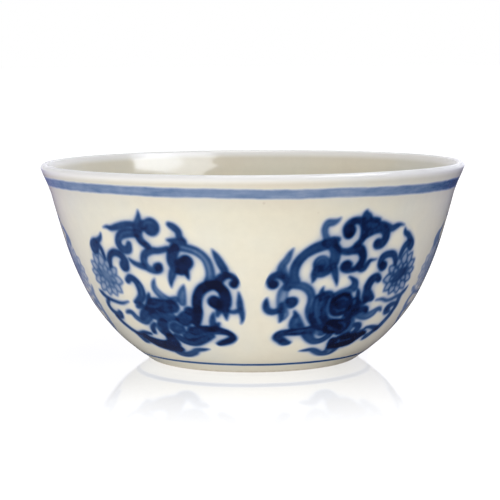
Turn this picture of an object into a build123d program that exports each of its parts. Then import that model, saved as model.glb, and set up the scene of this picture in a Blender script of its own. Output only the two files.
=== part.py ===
from build123d import *
from math import sin, cos, radians, hypot
import os

# Blue-and-white porcelain teacup with a recessed base.
# Millimetres, +Z up. Origin: centre of the plane that the foot rim rests on.
# The fired cup is one thrown piece of porcelain. It carries two separate glaze skins, parted by
# the bare foot rim, and cobalt painting that lies between the biscuit and the clear glaze.

# ---------------------------------------------------------------- driving dimensions
RIM_DIAMETER = 85.0        # over the lip
HEIGHT = 39.6              # resting plane to the top of the lip
LIP_THICKNESS = 1.5        # finished, over the glaze, fully rounded
LIP_LEAN = 20.0            # degrees that the wall leans out at the lip
GLAZE = 0.24               # thickness of the clear glaze skins
PIGMENT = 0.08             # thickness of the cobalt layer on the biscuit

FOOT_OUTER_R = 20.45       # resting ring, outside
FOOT_INNER_R = 17.90       # resting ring, inside
GLAZE_STOP_Z = 0.50        # the glaze is wiped back to this height above the resting plane
RECESS_TOP = (17.35, 1.20)  # radius and height where the foot rim's sloping inside meets its fillet
RECESS_LEAN = 23.6         # degrees that this sloping side leans inwards
RECESS_FILLET = 1.1        # where it turns into the underside
RECESS_DOME = 3.0          # degrees of rise of the slightly domed underside at its edge
FLOOR_Z = 4.10             # inside floor at the axis

BAND_LOW_Z, BAND_HIGH_Z = 35.25, 37.10     # broad cobalt band under the lip
LINE_LOW_Z, LINE_HIGH_Z = 1.90, 2.25       # thin cobalt line above the foot
MEDALLION_R = 16.45                        # round painted field, seen square on
MEDALLION_AT = (35.05, 17.0)               # radius and height of its centre on the wall
MEDALLION_TILT = 27.0                      # degrees below level that it faces
MEDALLION_ANGLES = [-31.7, 31.5, 91.6, 150.5, 209.4, 268.3]   # from the front (-Y) towards +X
SEAM_ANGLE = 61.5                          # modelling seam, in a gap between two medallions

# Finished outer wall: height, radius
OUTER = [(3.96, 25.87), (7.92, 29.61), (11.88, 32.50), (15.84, 34.58), (19.80, 36.27),
         (23.76, 37.66), (27.72, 38.83), (31.68, 39.93), (35.64, 41.17)]
# Finished wall thickness at each of those heights
WALL = [3.10, 2.65, 2.35, 2.15, 2.00, 1.88, 1.78, 1.68, 1.58]

# ---------------------------------------------------------------- finished profiles (radius, height)
lean = radians(LIP_LEAN)
lip_t = (sin(lean), cos(lean))             # up along the wall at the lip
lip_n = (cos(lean), -sin(lean))            # outward normal at the lip
lip_r = LIP_THICKNESS / 2
lip_c = (RIM_DIAMETER / 2 - lip_r, HEIGHT - lip_r)
lip_out = (lip_c[0] + lip_n[0] * lip_r, lip_c[1] + lip_n[1] * lip_r)
lip_in = (lip_c[0] - lip_n[0] * lip_r, lip_c[1] - lip_n[1] * lip_r)


def tangents(pts, first, last):
    out = [first]
    for a, b in zip(pts, pts[2:]):
        d = hypot(b[0] - a[0], b[1] - a[1])
        out.append(((b[0] - a[0]) / d, (b[1] - a[1]) / d))
    return out + [last]


def shifted(pts, tans, by):
    # to the right of the direction of travel by this much
    return [(p[0] + t[1] * by, p[1] - t[0] * by) for p, t in zip(pts, tans)]


# Outside, travelling up from the glaze's lower edge
outer = [(21.40, GLAZE_STOP_Z)] + [(r, z) for z, r in OUTER] + [lip_out]
outer_t = tangents(outer, (0.800, 0.600), lip_t)

# Inside, travelling out over the floor and up: the outer wall taken in by its thickness
floor = [(0.0, FLOOR_Z), (7.0, FLOOR_Z + 0.12), (13.5, FLOOR_Z + 0.55), (19.0, FLOOR_Z + 1.42)]
wall_in = [(p[0] - t[1] * w, p[1] + t[0] * w) for p, t, w in zip(outer[1:-1], outer_t[1:-1], WALL)]
inner = floor + wall_in + [lip_in]
inner_t = tangents(inner, (1.0, 0.0), lip_t)

# Hollow of the base, travelling in from the foot rim to the axis: side, fillet, shallow dome
dome = radians(RECESS_DOME)
side_t = (-sin(radians(RECESS_LEAN)), cos(radians(RECESS_LEAN)))
side_n, dome_n = (-side_t[1], side_t[0]), (-sin(dome), -cos(dome))     # both towards the hollow
fillet_c = (RECESS_TOP[0] + side_n[0] * RECESS_FILLET, RECESS_TOP[1] + side_n[1] * RECESS_FILLET)


def recess(depth):
    """The hollow's section at this depth into the base: lower edge, fillet start, middle, end, dome middle, axis."""
    rad = RECESS_FILLET + depth
    low_k = (RECESS_TOP[1] - GLAZE_STOP_Z - 0.1) / side_t[1]
    top = (fillet_c[0] - side_n[0] * rad, fillet_c[1] - side_n[1] * rad)
    low = (top[0] - side_t[0] * low_k, top[1] - side_t[1] * low_k)
    mid = ((side_n[0] + dome_n[0]), (side_n[1] + dome_n[1]))
    k = rad / hypot(*mid)
    mid = (fillet_c[0] - mid[0] * k, fillet_c[1] - mid[1] * k)
    end = (fillet_c[0] - dome_n[0] * rad, fillet_c[1] - dome_n[1] * rad)
    big = end[0] / sin(dome)
    centre_z = end[1] - big * cos(dome)
    half = (big * sin(dome / 2), centre_z + big * cos(dome / 2))
    return low, top, mid, end, half, (0.0, centre_z + big)


def recess_edges(pts):
    low, top, mid, end, half, axis = [(x, 0, z) for x, z in pts]
    return [Line(low, top), ThreePointArc(top, mid, end), ThreePointArc(end, half, axis)]


g_recess, b_recess = recess(0.0), recess(GLAZE)

# Biscuit surfaces lie one glaze thickness under the finished ones
b_outer = shifted(outer, outer_t, -GLAZE)
b_inner = shifted(inner, inner_t, GLAZE)
# Outer limit of the cobalt, and a surface inside the body for clean cuts
p_outer = shifted(outer, outer_t, -(GLAZE - PIGMENT))
d_outer = shifted(outer, outer_t, -(GLAZE + 0.6))


# ---------------------------------------------------------------- helpers
def spline(pts, tans):
    return Spline(*[(x, 0, z) for x, z in pts],
                  tangents=[(tans[0][0], 0, tans[0][1]), (tans[-1][0], 0, tans[-1][1])])


def line(a, b):
    return Line((a[0], 0, a[1]), (b[0], 0, b[1]))


def over_lip(a, b, rad):
    top = (lip_c[0] + lip_t[0] * rad, lip_c[1] + lip_t[1] * rad)
    return ThreePointArc((a[0], 0, a[1]), (top[0], 0, top[1]), (b[0], 0, b[1]))


def face(*edges):
    return make_face(Wire(list(edges)))


def turned(section, sweep=360.0, start=SEAM_ANGLE - 90.0):
    # a section in the XZ plane starts at +X, which is 90 degrees round from the front
    return Rot(0, 0, start) * revolve(section, Axis.Z, sweep)


e_outer, b_outer_e, p_outer_e, d_outer_e = (spline(p, outer_t) for p in (outer, b_outer, p_outer, d_outer))
e_inner, b_inner_e = spline(inner, inner_t), spline(b_inner, inner_t)
g_recess_e, b_recess_e = recess_edges(g_recess), recess_edges(b_recess)

# ---------------------------------------------------------------- porcelain body, foot rim and all, one thrown piece
foot_out, foot_in = (FOOT_OUTER_R, 0.0), (FOOT_INNER_R, 0.0)
foot_round = (FOOT_OUTER_R + 0.42, 0.14)
body = turned(face(
    line(foot_in, foot_out), line(foot_out, foot_round), line(foot_round, b_outer[0]),
    b_outer_e, over_lip(b_outer[-1], b_inner[-1], lip_r - GLAZE), b_inner_e,
    line(b_inner[0], b_recess[-1]), *b_recess_e, line(b_recess[0], foot_in)))

# ---------------------------------------------------------------- painted rings, cut as sections
def slab(low, high):
    return face(line((5, low), (60, low)), line((60, low), (60, high)),
                line((60, high), (5, high)), line((5, high), (5, low)))


cobalt = face(line(b_outer[0], p_outer[0]), p_outer_e, line(p_outer[-1], b_outer[-1]), b_outer_e)
deep_cobalt = face(line(d_outer[0], p_outer[0]), p_outer_e, line(p_outer[-1], d_outer[-1]), d_outer_e)
rim_band = turned(cobalt & slab(BAND_LOW_Z, BAND_HIGH_Z))
foot_line = turned(cobalt & slab(LINE_LOW_Z, LINE_HIGH_Z))

# ---------------------------------------------------------------- round painted medallions
tilt = radians(MEDALLION_TILT)
axis_out = Vector(0, -cos(tilt), -sin(tilt))
axis_at = Vector(0, -MEDALLION_AT[0], MEDALLION_AT[1])
punch = Solid.make_cylinder(MEDALLION_R, 16.0, Plane(origin=axis_at - axis_out * 12.0, z_dir=axis_out))
SECTOR = 80.0
front = -90.0 - SECTOR / 2                  # start of a sector centred on the front
medallion_at_front = turned(cobalt, SECTOR, front) & punch
pocket_at_front = turned(deep_cobalt, SECTOR, front) & punch
medallions = [Rot(0, 0, a) * medallion_at_front for a in MEDALLION_ANGLES]
pockets = [Rot(0, 0, a) * pocket_at_front for a in MEDALLION_ANGLES]

# ---------------------------------------------------------------- glaze skins
glaze_section = face(
    line(b_outer[0], outer[0]), e_outer, over_lip(outer[-1], inner[-1], lip_r), e_inner,
    line(inner[0], b_inner[0]), b_inner_e, over_lip(b_outer[-1], b_inner[-1], lip_r - GLAZE), b_outer_e)
for low, high in ((BAND_LOW_Z, BAND_HIGH_Z), (LINE_LOW_Z, LINE_HIGH_Z)):
    glaze_section = glaze_section - (deep_cobalt & slab(low, high))
glaze_coat = turned(glaze_section)
for pocket in pockets:
    glaze_coat = glaze_coat - pocket
base_glaze = turned(face(line(b_recess[0], g_recess[0]), *g_recess_e, line(g_recess[-1], b_recess[-1]), *b_recess_e))

# ---------------------------------------------------------------- files, one per node
nodes = {
    "porcelain_body": body,
    "glaze_coat": glaze_coat,
    "base_glaze": base_glaze,
    "rim_band": rim_band,
    "foot_line": foot_line,
}
for i, m in enumerate(medallions, 1):
    nodes[f"medallion_{i}"] = m

os.makedirs("parts", exist_ok=True)
for name, shape in nodes.items():
    solids = shape.solids()
    export_step(solids[0] if len(solids) == 1 else Compound(children=list(solids)), f"parts/{name}.step")
    print(name, len(solids), round(sum(s.volume for s in solids), 2), all(s.is_valid for s in solids))
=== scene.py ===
import math

import bpy
import numpy as np
from mathutils import Matrix, Vector


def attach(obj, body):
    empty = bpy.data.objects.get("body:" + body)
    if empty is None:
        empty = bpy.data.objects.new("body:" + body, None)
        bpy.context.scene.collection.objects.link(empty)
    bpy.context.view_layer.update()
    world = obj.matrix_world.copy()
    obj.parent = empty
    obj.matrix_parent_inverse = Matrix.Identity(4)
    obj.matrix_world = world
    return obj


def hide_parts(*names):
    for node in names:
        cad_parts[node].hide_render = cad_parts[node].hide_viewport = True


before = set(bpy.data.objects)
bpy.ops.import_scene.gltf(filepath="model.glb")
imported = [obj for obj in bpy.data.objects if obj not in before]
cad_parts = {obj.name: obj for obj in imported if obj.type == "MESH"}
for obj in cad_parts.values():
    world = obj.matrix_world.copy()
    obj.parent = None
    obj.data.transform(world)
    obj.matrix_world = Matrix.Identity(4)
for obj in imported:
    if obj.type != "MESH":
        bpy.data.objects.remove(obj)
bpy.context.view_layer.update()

MM = 0.001

# ---------------------------------------------------------------- camera, in millimetres from the cup's resting plane
CAM_DIST, CAM_HIGH = 373.26, 62.05        # in front of the axis, above the resting plane
CAM_PITCH, CAM_YAW, CAM_ROLL = 6.189, 0.0931, -0.36
cam_data = bpy.data.cameras.new("camera")
cam = bpy.data.objects.new("camera", cam_data)
bpy.context.scene.collection.objects.link(cam)
cam_data.sensor_width = 36.0
cam_data.lens = 133.28
cam_data.clip_start, cam_data.clip_end = 0.01, 50.0
cam.location = Vector((0.0, -CAM_DIST, CAM_HIGH)) * MM
cam.rotation_mode = "QUATERNION"
turn = Matrix.Rotation(math.radians(CAM_YAW), 4, "Z") @ Matrix.Rotation(math.radians(90 - CAM_PITCH), 4, "X") @ Matrix.Rotation(math.radians(CAM_ROLL), 4, "Z")
cam.rotation_quaternion = turn.to_quaternion()
bpy.context.scene.camera = cam

# ---------------------------------------------------------------- the cup's section, as in part.py, millimetres
RIM_R, HIGH, LIP = 42.5, 39.6, 1.5
GLAZE = 0.24
LEAN = math.radians(20.0)
OUTER = [(3.96, 25.87), (7.92, 29.61), (11.88, 32.50), (15.84, 34.58), (19.80, 36.27),
         (23.76, 37.66), (27.72, 38.83), (31.68, 39.93), (35.64, 41.17)]
WALL = [3.10, 2.65, 2.35, 2.15, 2.00, 1.88, 1.78, 1.68, 1.58]
lip_t = (math.sin(LEAN), math.cos(LEAN))
lip_n = (math.cos(LEAN), -math.sin(LEAN))
lip_r = LIP / 2
lip_c = (RIM_R - lip_r, HIGH - lip_r)


def tangents(pts, first, last):
    out = [first]
    for a, b in zip(pts, pts[2:]):
        d = math.hypot(b[0] - a[0], b[1] - a[1])
        out.append(((b[0] - a[0]) / d, (b[1] - a[1]) / d))
    return out + [last]


def smooth_curve(pts, first, last, step=0.35):
    """Clamped C2 cubic through the points, chord-length parameter, sampled about every step mm."""
    P = np.array(pts, float)
    t = np.concatenate([[0], np.cumsum(np.hypot(*np.diff(P, axis=0).T))])
    n = len(P)
    h = np.diff(t)
    A = np.zeros((n, n))
    B = np.zeros((n, 2))
    A[0, 0] = A[-1, -1] = 1
    B[0], B[-1] = first, last
    for i in range(1, n - 1):
        A[i, i - 1], A[i, i], A[i, i + 1] = 1 / h[i - 1], 2 / h[i - 1] + 2 / h[i], 1 / h[i]
        B[i] = 3 * ((P[i] - P[i - 1]) / h[i - 1] ** 2 + (P[i + 1] - P[i]) / h[i] ** 2)
    M = np.linalg.solve(A, B)
    out = []
    for i in range(n - 1):
        k = max(2, int(math.ceil(h[i] / step)))
        u = np.linspace(0, 1, k, endpoint=False)[:, None]
        out.append((2 * u ** 3 - 3 * u ** 2 + 1) * P[i] + (u ** 3 - 2 * u ** 2 + u) * h[i] * M[i]
                   + (-2 * u ** 3 + 3 * u ** 2) * P[i + 1] + (u ** 3 - u ** 2) * h[i] * M[i + 1])
    out.append(P[-1:])
    return np.vstack(out)


lip_out = (lip_c[0] + lip_n[0] * lip_r, lip_c[1] + lip_n[1] * lip_r)
lip_in = (lip_c[0] - lip_n[0] * lip_r, lip_c[1] - lip_n[1] * lip_r)
outer_pts = [(21.40, 0.5)] + [(r, z) for z, r in OUTER] + [lip_out]
outer_tan = tangents(outer_pts, (0.8, 0.6), lip_t)
wall_in = [(p[0] - t[1] * w, p[1] + t[0] * w) for p, t, w in zip(outer_pts[1:-1], outer_tan[1:-1], WALL)]
inner_pts = [(0.0, 4.10), (7.0, 4.22), (13.5, 4.65), (19.0, 5.52)] + wall_in + [lip_in]
outer_c = smooth_curve(outer_pts, (0.8, 0.6), lip_t)
inner_c = smooth_curve(inner_pts, (1.0, 0.0), lip_t)


def normals_of(c):
    d = np.gradient(c, axis=0)
    d /= np.hypot(*d.T)[:, None]
    return np.stack([d[:, 1], -d[:, 0]], -1)      # to the right of travel


def lip_arc(rad, a0, a1, n):
    """Round the lip's centre from angle a0 to a1, measured from the outward normal towards the top."""
    a = np.linspace(a0, a1, n)
    return np.stack([lip_c[0] + rad * (np.cos(a) * lip_n[0] + np.sin(a) * lip_t[0]),
                     lip_c[1] + rad * (np.cos(a) * lip_n[1] + np.sin(a) * lip_t[1])], -1)


# outer wall by distance along it, for everything painted on the wall
seg = np.hypot(*np.diff(outer_c, axis=0).T)
# distance is counted up from the resting plane, 0.86 mm below the glaze's lower edge along the wall
S_OUT = np.concatenate([[0], np.cumsum(seg)]) + 0.86
N_OUT = normals_of(outer_c)


def wall(s, off=0.0):
    """Radius and height at distance s up the outer wall, moved out by off."""
    r = np.interp(s, S_OUT, outer_c[:, 0]) + off * np.interp(s, S_OUT, N_OUT[:, 0])
    z = np.interp(s, S_OUT, outer_c[:, 1]) + off * np.interp(s, S_OUT, N_OUT[:, 1])
    return r, z


# ---------------------------------------------------------------- mesh helpers
def new_mesh(name, verts, faces, smooth=True):
    me = bpy.data.meshes.new(name)
    me.from_pydata((np.asarray(verts) * MM).tolist(), [], faces if isinstance(faces, list) else faces.tolist())
    me.validate()
    me.update()
    if smooth:
        me.polygons.foreach_set("use_smooth", [True] * len(me.polygons))
    ob = bpy.data.objects.new(name, me)
    bpy.context.scene.collection.objects.link(ob)
    return ob


def lathe(name, profile, seg=288, closed_axis=()):
    """Turns a closed or open section (r, z). Points on the axis become one vertex."""
    profile = np.asarray(profile, float)
    th = np.linspace(0, 2 * math.pi, seg, endpoint=False)
    verts, rows = [], []
    for r, z in profile:
        if r < 1e-6:
            rows.append([len(verts)] * seg)
            verts.append((0.0, 0.0, z))
        else:
            rows.append(list(range(len(verts), len(verts) + seg)))
            verts.extend(zip(r * np.sin(th), -r * np.cos(th), [z] * seg))
    faces = []
    for a, b in zip(rows, rows[1:]):
        for i in range(seg):
            j = (i + 1) % seg
            q = [a[i], a[j], b[j], b[i]]
            q = [v for k, v in enumerate(q) if v != q[k - 1]]
            if len(q) >= 3:
                faces.append(q)
    return new_mesh(name, verts, faces)

# ---------------------------------------------------------------- the scroll-and-lotus roundel
# name, wash, edge line (1 = darkest), then the brush's points (u, v, width) in mm from the roundel's centre
R = [
 # ---- top spray
 ("t1", 0.90, 0.96, [(-3.08,12.18,2.3),(-3.58,13.18,1.9),(-2.98,14.18,1.5),(-1.78,14.58,1.3),(-0.58,14.18,1.5),(0.12,12.98,1.6),(0.22,11.58,1.5),(-0.18,10.48,1.2),(-1.18,9.58,1.1)]),
 ("t2", 0.80, 0.96, [(0.12,16.48,.15),(-0.03,15.68,1.2),(0.42,14.78,2.3),(0.92,13.78,2.0)]),
 ("t3", 0.77, 0.93, [(1.12,14.48,1.0),(2.32,14.48,.95),(3.32,14.38,.7)]),
 ("t4", 0.90, 0.96, [(0.42,11.18,1.0),(1.42,12.08,1.7),(2.92,12.78,2.1),(4.42,12.78,2.1),(5.52,11.78,1.9),(5.62,10.48,1.7),(4.82,9.58,1.8),(3.92,9.58,2.1)]),
 ("t5", 0.70, 0.88, [(2.52,13.58,.9),(4.32,13.58,.9),(5.72,13.08,1.0),(6.92,12.48,1.2),(8.22,12.88,1.0),(9.22,13.08,.5),(10.42,12.88,.1)]),
 ("t6", 0.78, 0.94, [(0.62,13.38,2.0),(1.72,13.48,2.0),(2.92,13.48,1.4)]),
 # ---- fork, top left
 ("f1", 0.58, 0.76, [(-7.28,10.98,1.3),(-7.88,11.98,1.1),(-8.18,13.18,1.2),(-7.78,14.28,1.3),(-6.78,14.38,1.2),(-5.88,14.68,.7),(-5.28,15.28,.1)]),
 ("f2", 0.78, 0.94, [(-5.18,10.98,1.0),(-6.18,10.88,1.4),(-7.08,10.58,1.6)]),
 # ---- great arch, down the left
 ("a1", 0.76, 0.92, [(-5.78,10.38,1.6),(-7.48,10.08,2.0),(-9.38,9.48,1.9),(-10.98,8.48,1.7),(-12.18,7.08,1.7),(-12.68,5.48,1.7),(-12.48,3.98,1.5),(-11.78,2.78,1.3)]),
 # ---- column and its leaf tip
 ("c1", 0.86, 0.96, [(-7.70,10.45,1.5),(-6.30,10.00,1.9),(-5.35,8.90,2.0),(-5.15,7.60,2.0),(-5.35,6.30,2.0),(-5.95,5.30,1.7),(-6.80,4.80,1.3)]),
 ("c4", 0.76, 0.94, [(-5.25,5.90,1.3),(-4.75,4.70,1.3),(-4.25,3.50,1.0),(-3.85,2.50,.6),(-3.55,1.50,.12)]),
 ("c2", 0.92, 0.98, [(-7.75,6.35,3.1),(-7.65,6.30,3.1)]),
 ("c5", 0.84, 0.96, [(-8.30,5.30,1.6),(-8.65,4.20,1.3),(-8.60,3.30,.8),(-8.75,2.40,.1)]),
 ("c3", 0.70, 0.90, [(-8.20,4.30,1.2),(-7.20,4.30,1.5),(-6.20,4.60,1.3)]),
 # ---- S-stem to the middle curl
 ("s1", 0.92, 0.98, [(-5.28,9.88,.9),(-4.28,8.78,1.0),(-2.78,8.48,1.3),(-1.28,8.78,1.7),(0.02,8.68,1.9),(0.82,7.58,1.6),(0.92,6.38,1.5),(0.42,5.28,1.4),(-0.78,4.78,1.1),(-2.08,4.68,1.1),(-3.08,5.18,1.1),(-3.08,5.98,.9),(-2.28,6.28,.8),(-1.38,5.88,.5)]),
 ("s2", 0.80, 0.96, [(-2.48,5.58,1.4),(-1.78,5.48,1.0)]),
 ("s3", 0.78, 0.94, [(0.42,5.58,1.5),(1.02,4.68,1.2),(1.72,4.78,1.0),(2.22,5.58,.9),(2.72,6.28,.6),(3.52,6.38,.3),(4.42,6.48,.08)]),
 # ---- flame leaf above the heart, and crest leaves
 ("h1", 0.76, 0.92, [(-1.28,3.28,.3),(-0.48,2.78,.6),(0.32,1.98,1.2),(0.32,0.88,1.7),(-0.68,0.08,1.9),(-2.28,-0.32,1.9),(-3.48,-1.12,1.8)]),
 ("h2", 0.76, 0.92, [(-6.28,1.48,.1),(-6.38,0.38,.8),(-6.08,-0.92,1.4)]),
 ("h3", 0.76, 0.92, [(-5.88,-0.02,.9),(-4.68,0.08,.9),(-4.08,-0.82,1.4)]),
 ("h4", 0.78, 0.94, [(1.22,0.68,.1),(1.62,-0.12,.7),(1.92,-1.22,1.0),(2.12,-2.62,1.3)]),
 # ---- left curl and leaves
 ("l1", 0.90, 0.96, [(-16.28,2.38,1.7),(-16.88,3.18,1.2),(-16.38,4.08,1.2),(-15.28,4.28,1.4),(-14.18,3.68,1.4),(-13.48,2.68,1.3),(-13.28,1.68,1.6)]),
 ("l2", 0.62, 0.80, [(-13.58,9.58,.1),(-14.08,8.58,.8),(-14.48,7.38,1.2),(-15.08,6.38,1.3),(-15.38,5.38,1.1),(-15.18,4.58,.9)]),
 ("l3", 0.45, 0.63, [(-14.88,6.18,.8),(-14.38,5.08,.6),(-13.68,3.98,.5)]),
 ("l4", 0.52, 0.70, [(-13.28,1.98,1.8),(-13.88,0.78,1.9),(-13.78,-0.62,2.0),(-13.48,-1.82,2.0),(-13.28,-3.02,1.8)]),
 ("l5", 0.90, 0.96, [(-12.48,-1.22,1.3),(-11.68,-1.52,2.1),(-11.68,-2.02,1.7)]),
 ("l6", 0.90, 0.96, [(-13.58,-2.02,.9),(-13.28,-3.42,1.0),(-12.88,-4.82,.9),(-12.78,-6.02,.35)]),
 ("l7", 0.50, 0.68, [(-12.58,-3.42,1.0),(-12.08,-4.42,.8),(-12.28,-5.42,.5)]),
 ("l8", 0.80, 0.96, [(-16.68,-0.52,.15),(-16.58,-1.62,.9),(-16.18,-2.82,1.1),(-15.38,-3.52,1.2),(-14.48,-3.62,1.2),(-13.68,-3.22,1.1)]),
 # ---- second arch
 ("b1", 0.68, 0.86, [(-13.28,2.18,1.2),(-11.68,2.08,1.4),(-10.28,1.78,1.5),(-9.08,0.98,1.5),(-8.28,-0.22,1.4),(-7.98,-1.62,1.4),(-7.88,-3.22,1.6),(-7.28,-4.72,1.7),(-6.28,-6.02,1.8)]),
 ("b2", 0.80, 0.96, [(-10.88,-3.42,.1),(-10.28,-4.42,.8),(-10.28,-5.82,1.3),(-9.88,-7.02,1.6),(-8.88,-7.92,1.7)]),
 ("b3", 0.70, 0.88, [(-9.88,-4.62,.6),(-9.28,-5.62,.8),(-8.58,-6.72,.8),(-7.88,-7.82,.9)]),
 # ---- limb with a hooked end
 ("m1", 0.94, 1.00, [(-5.48,-8.22,2.0),(-7.88,-8.72,1.9),(-10.28,-8.82,1.6),(-11.88,-9.12,1.6),(-11.98,-10.02,1.6),(-11.08,-10.82,1.5),(-10.08,-11.62,1.5),(-9.28,-11.82,1.0)]),
 ("m2", 0.78, 0.94, [(-6.68,-9.22,1.9),(-5.48,-10.62,1.8),(-4.08,-11.72,1.6),(-2.68,-11.62,1.5),(-1.68,-10.62,1.4),(-1.28,-9.62,1.4)]),
 ("m3", 0.64, 0.82, [(-5.88,-8.42,1.4),(-4.48,-8.82,1.6),(-3.28,-9.62,1.4)]),
 # ---- bottom leaf
 ("u1", 0.70, 0.88, [(-6.08,-14.42,.12),(-4.88,-14.32,.7),(-3.68,-14.22,1.0),(-2.48,-14.92,1.3),(-1.28,-15.72,1.3),(-0.08,-16.02,1.4),(1.12,-15.82,1.6),(2.02,-14.92,1.2)]),
 # ---- heart of the roundel, dark washes
 ("d1", 1.02, 1.06, [(-1.58,-2.82,5.2),(-1.48,-2.72,5.2)]),
 ("d2", 0.90, 0.96, [(-4.88,-1.02,1.2),(-5.08,-2.82,1.6),(-4.78,-4.62,1.8),(-3.68,-6.22,1.8),(-1.88,-6.82,1.6)]),
 ("d3", 0.90, 0.96, [(-6.78,-0.82,1.4),(-6.68,-2.62,2.2),(-6.38,-4.62,2.6),(-5.28,-6.52,2.6),(-3.68,-7.62,2.4)]),
 ("d4", 1.08, 1.08, [(-1.58,-7.92,4.0),(-1.28,-7.92,4.0)]),
 ("d5", 1.00, 1.04, [(0.72,-6.62,2.6),(1.02,-8.02,2.8),(0.52,-9.42,2.0)]),
 ("d6", 0.92, 0.98, [(1.72,-2.62,2.6),(1.72,-4.62,2.8),(0.92,-5.82,2.4)]),
 # ---- lower right masses
 ("n1", 1.12, 1.12, [(-0.08,-11.82,1.4),(0.52,-12.82,2.4),(1.92,-12.62,3.2),(3.52,-12.32,3.3),(5.12,-12.02,2.7),(6.72,-11.22,1.8),(7.62,-11.02,1.3)]),
 ("n2", 1.08, 1.10, [(0.32,-13.92,1.6),(2.32,-13.62,1.7),(4.52,-13.42,1.4),(5.62,-13.02,.9)]),
 ("n3", 0.96, 1.00, [(3.12,-10.52,1.2),(2.12,-11.02,1.6),(0.92,-11.62,1.2)]),
 ("n4", 0.62, 0.80, [(0.32,-15.12,1.8),(1.12,-15.22,1.8)]),
 ("n5", 0.92, 0.98, [(3.42,-8.02,.9),(4.52,-8.32,1.4),(5.02,-9.12,1.4),(4.62,-10.22,1.5)]),
 ("n6", 0.56, 0.74, [(2.52,-6.82,1.1),(2.82,-8.02,1.2),(2.82,-9.12,1.3),(1.72,-10.02,1.2)]),
 # ---- middle right
 ("r1", 0.93, 0.99, [(6.12,2.08,1.3),(5.32,2.68,1.6),(4.32,2.18,1.8),(3.72,0.98,1.8),(3.72,-0.42,2.0),(4.42,-1.42,2.4),(5.62,-2.02,1.2)]),
 ("r2", 0.92, 0.98, [(2.12,-4.82,1.8),(3.62,-4.52,1.9),(4.82,-4.42,1.4),(5.52,-5.12,.5)]),
 ("r3", 0.60, 0.78, [(2.72,-5.42,1.1),(4.42,-5.92,1.7),(6.02,-6.12,1.9),(7.32,-5.62,1.7),(8.12,-4.92,1.1),(9.02,-4.82,.9),(9.72,-5.42,.25)]),
 ("r4", 0.78, 0.94, [(3.12,-3.02,1.0),(4.12,-2.62,1.0)]),
 # ---- upper right curl
 ("w1", 0.80, 0.96, [(6.32,4.78,1.9),(5.52,5.48,1.3),(5.92,6.78,1.4),(7.32,7.28,1.3),(8.72,7.08,1.3),(9.52,6.08,1.2),(9.82,5.08,.9)]),
 ("x1", 0.76, 0.92, [(10.72,12.28,.2),(11.02,11.38,.9),(12.12,10.78,1.1),(13.02,9.78,1.4),(13.52,8.78,2.1),(13.62,8.08,1.4)]),
 ("x2", 0.74, 0.90, [(12.92,9.18,1.5),(11.72,8.58,1.3),(11.02,7.38,1.1),(10.72,6.18,.8)]),
 # ---- rim stem, lower right
 ("v1", 0.68, 0.86, [(16.92,-0.52,.15),(16.02,-1.42,.8),(15.02,-2.12,1.0),(14.62,-3.22,1.2),(14.62,-4.62,1.1),(14.02,-6.02,1.1),(13.52,-7.22,1.3),(12.62,-8.62,1.3),(11.62,-10.02,1.4),(10.42,-11.02,1.1),(9.12,-12.02,1.5),(8.42,-12.72,.9)]),
 ("v2", 0.68, 0.86, [(14.40,-4.40,.9),(13.20,-4.20,1.0),(12.00,-4.50,1.2),(11.30,-5.20,1.4),(11.60,-6.00,1.2),(12.70,-6.00,.7)]),
 ("v3", 0.56, 0.74, [(6.92,-2.52,.3),(8.62,-2.52,.6),(10.22,-3.02,.7),(11.82,-2.92,.7),(13.12,-2.52,.8),(14.42,-2.42,1.0)]),
 ("v4", 0.78, 0.94, [(7.12,-9.32,.4),(8.62,-9.42,.8),(10.12,-9.82,1.1),(11.32,-10.22,1.1)]),
 ("v5", 0.70, 0.88, [(6.12,-10.22,.9),(7.12,-9.82,.6)]),
 # ---- round ends of the curls
 ("e1", 0.93, 0.98, [(-3.1,12.7,2.5),(-3.0,12.6,2.5)]),
 ("e2", 0.92, 0.98, [(-16.1,2.4,1.8),(-16.0,2.3,1.8)]),
 ("e3", 0.90, 0.97, [(6.4,4.9,1.9),(6.5,4.9,1.9)]),
 ("e4", 0.90, 0.96, [(-2.5,5.7,1.6),(-2.4,5.7,1.6)]),
 ("e5", 0.78, 0.88, [(11.8,-5.3,1.4),(11.9,-5.3,1.4)]),
]
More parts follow.
